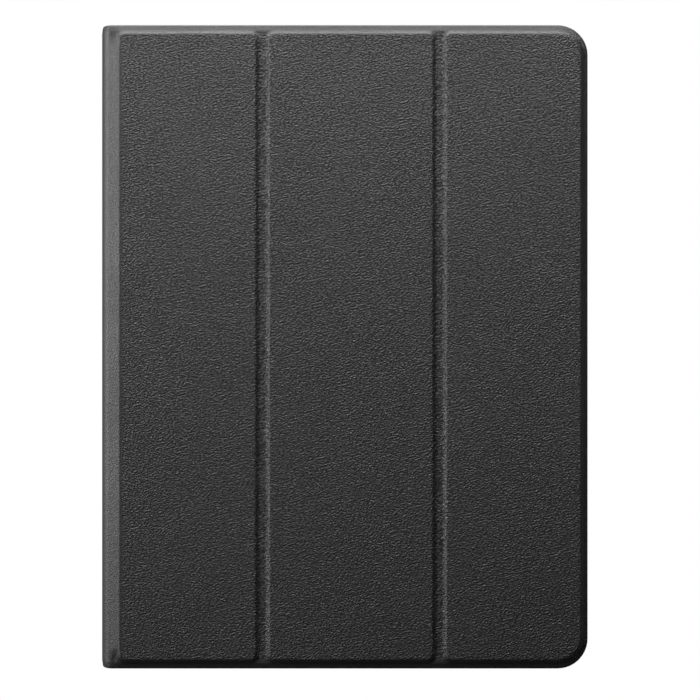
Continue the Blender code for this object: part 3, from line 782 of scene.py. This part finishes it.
def make_stage():
    """A white floor below the case, soft light from the top left, and a camera straight above.

    The floor glows evenly, lights nothing, takes no shadow and is clear from below. The sky is white to the camera.
    """
    floor_mesh = bpy.data.meshes.new("floor")
    reach = 3.0
    corners = [(-reach, -reach, 0), (reach, -reach, 0), (reach, reach, 0), (-reach, reach, 0)]
    floor_mesh.from_pydata(corners, [], [(0, 1, 2, 3)])
    floor = bpy.data.objects.new("floor", floor_mesh)
    bpy.context.scene.collection.objects.link(floor)
    floor.location.z = -0.075
    for ray in ("visible_diffuse", "visible_glossy", "visible_shadow", "visible_transmission"):
        setattr(floor, ray, False)
    surface = bpy.data.materials.new("white_floor")
    surface.use_nodes = True
    nodes, links = surface.node_tree.nodes, surface.node_tree.links
    nodes.remove(nodes["Principled BSDF"])
    glow, clear, sides = (nodes.new("ShaderNode" + kind) for kind in ("Emission", "BsdfTransparent", "MixShader"))
    glow.inputs["Strength"].default_value = 1.0
    links.new(nodes.new("ShaderNodeNewGeometry").outputs["Backfacing"], sides.inputs["Fac"])
    links.new(glow.outputs[0], sides.inputs[1])
    links.new(clear.outputs[0], sides.inputs[2])
    links.new(sides.outputs[0], nodes["Material Output"].inputs["Surface"])
    floor_mesh.materials.append(surface)

    for name, place, size, power in LIGHTS:
        data = bpy.data.lights.new(name, "AREA")
        data.shape, data.size, data.size_y, data.energy = "RECTANGLE", *size, power
        lamp = bpy.data.objects.new(name, data)
        lamp.location = place
        lamp.rotation_euler = (-Vector(place)).to_track_quat("-Z", "Y").to_euler()
        lamp.visible_camera = False
        bpy.context.scene.collection.objects.link(lamp)

    world = bpy.data.worlds.new("studio")
    bpy.context.scene.world = world
    world.use_nodes = True
    tree = world.node_tree
    background = tree.nodes["Background"]
    seen, mix = tree.nodes.new("ShaderNodeLightPath"), tree.nodes.new("ShaderNodeMixRGB")
    place, split = tree.nodes.new("ShaderNodeTexCoord"), tree.nodes.new("ShaderNodeSeparateXYZ")
    height = tree.nodes.new("ShaderNodeMapRange")
    tree.links.new(place.outputs["Generated"], split.inputs[0])
    tree.links.new(split.outputs["Z"], height.inputs["Value"])
    for key, value in zip(("From Min", "From Max", "To Min", "To Max"), SKY):
        height.inputs[key].default_value = value
    tree.links.new(height.outputs[0], mix.inputs["Color1"])
    mix.inputs["Color2"].default_value = (1, 1, 1, 1)
    tree.links.new(seen.outputs["Is Camera Ray"], mix.inputs["Fac"])
    tree.links.new(mix.outputs[0], background.inputs["Color"])

    camera = bpy.data.objects.new("camera", bpy.data.cameras.new("camera"))
    camera.data.sensor_width = 36.0
    camera.location = (CAMERA_ASIDE[0], CAMERA_ASIDE[1], CAMERA_HEIGHT + FIELD_TOP)
    camera.data.lens = camera.data.sensor_width * CAMERA_HEIGHT / VIEW_WIDTH
    camera.data.clip_end = 20.0
    bpy.context.scene.collection.objects.link(camera)
    bpy.context.scene.camera = camera
    bpy.context.scene.view_settings.view_transform = "Standard"


def main():
    surfaces = {
        "leather": leather(),
        "microfibre": microfibre(),
        "soft_frame": moulded("soft_black_frame", (0.017, 0.017, 0.018), 0.42, 0.6, 2600),
        "plate": moulded("black_plate", (0.022, 0.022, 0.023), 0.35, 0.5, 2000),
        "key": moulded("soft_black_key", (0.02, 0.02, 0.021), 0.32, 0.5, 3200),
        "board": pressed_board(),
        "foam": foam(),
        "steel": metal("keeper_steel", (0.55, 0.55, 0.56), 0.32, (3000, 90, 3000)),
        "magnet": metal("nickel_plate", (0.72, 0.71, 0.68), 0.22, (2400, 2400, 2400)),
    }
    heel_end = make_layers(surfaces)
    make_back(surfaces, heel_end)
    make_pads(surfaces)
    make_rigid(surfaces)
    dress_nodes(surfaces)
    make_stage()


main()
